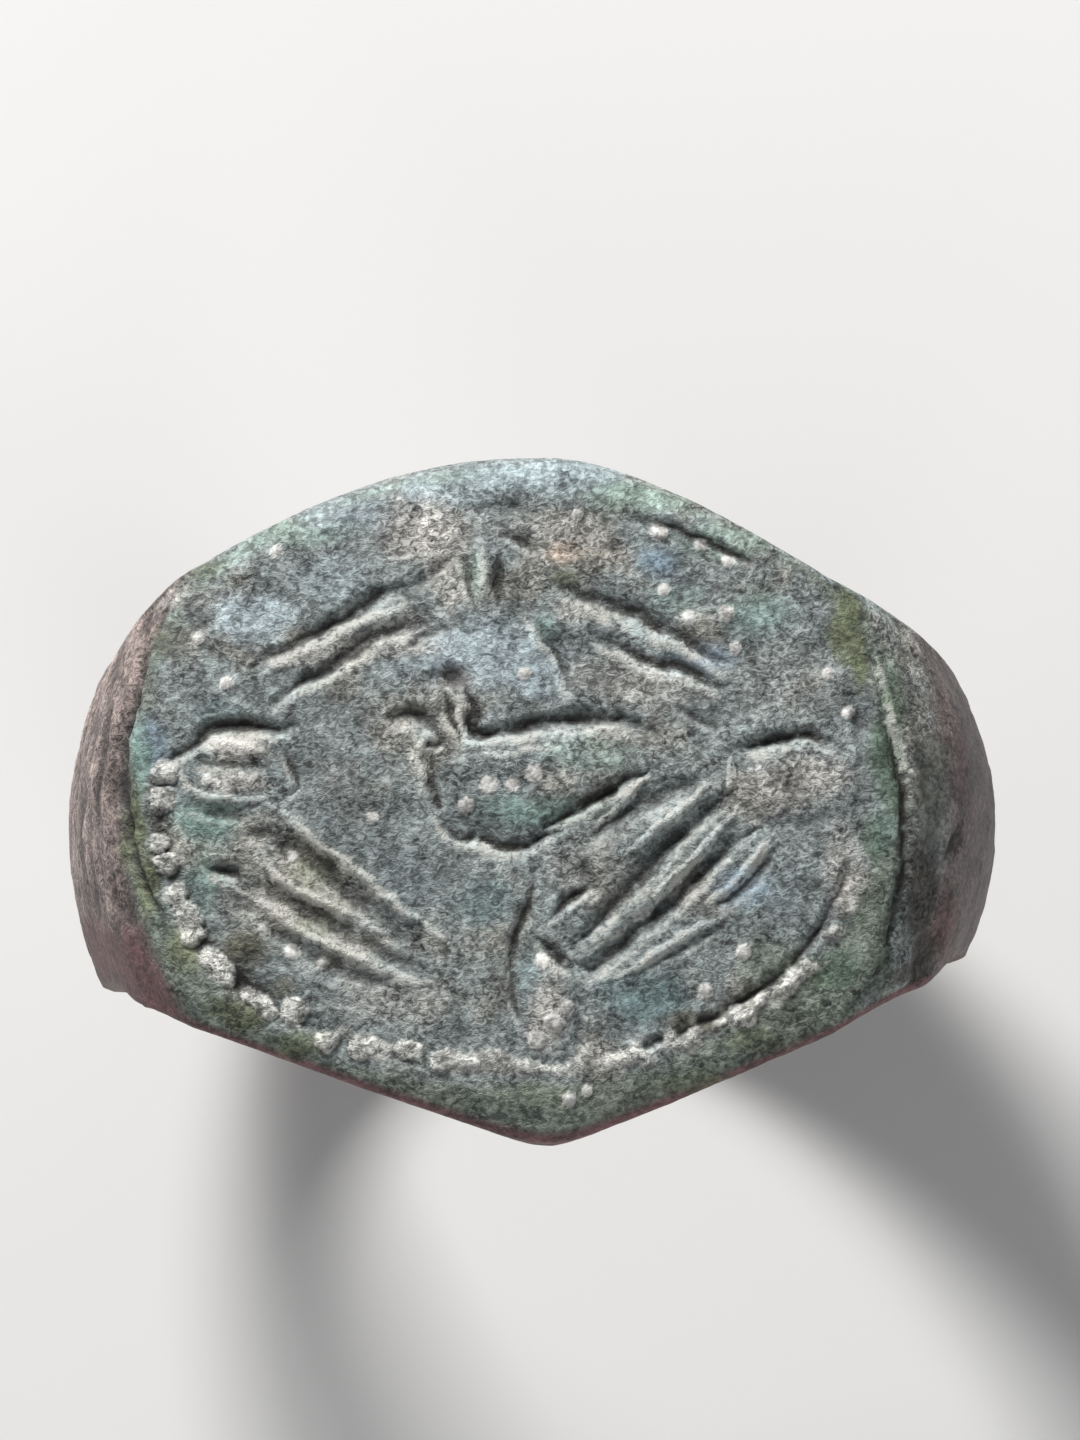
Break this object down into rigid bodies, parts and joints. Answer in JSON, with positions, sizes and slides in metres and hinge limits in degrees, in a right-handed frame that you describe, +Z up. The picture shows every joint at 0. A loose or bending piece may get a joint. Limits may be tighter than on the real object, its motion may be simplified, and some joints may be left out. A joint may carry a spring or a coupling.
{
  "type": "seal ring",
  "caption": "Cast bronze seal ring with a broad lozenge-shaped bezel carved with a bird in a frame, on a hoop that narrows to its back. Worn and patinated.",
  "frame": {"origin": "middle of the small flat at the back of the hoop, which the ring stands on with its bezel upwards", "axes": "+X across the bezel to the right of the seal, +Y along the finger to the top of the seal, +Z up through the bezel"},
  "size_m": [0.0242, 0.0174, 0.0237],
  "materials": {
    "bronze": "matt grey-green patina with worn brown shoulders"
  },
  "bodies": {
    "root": {"seal_ring": "bronze"}
  },
  "joints": []
}
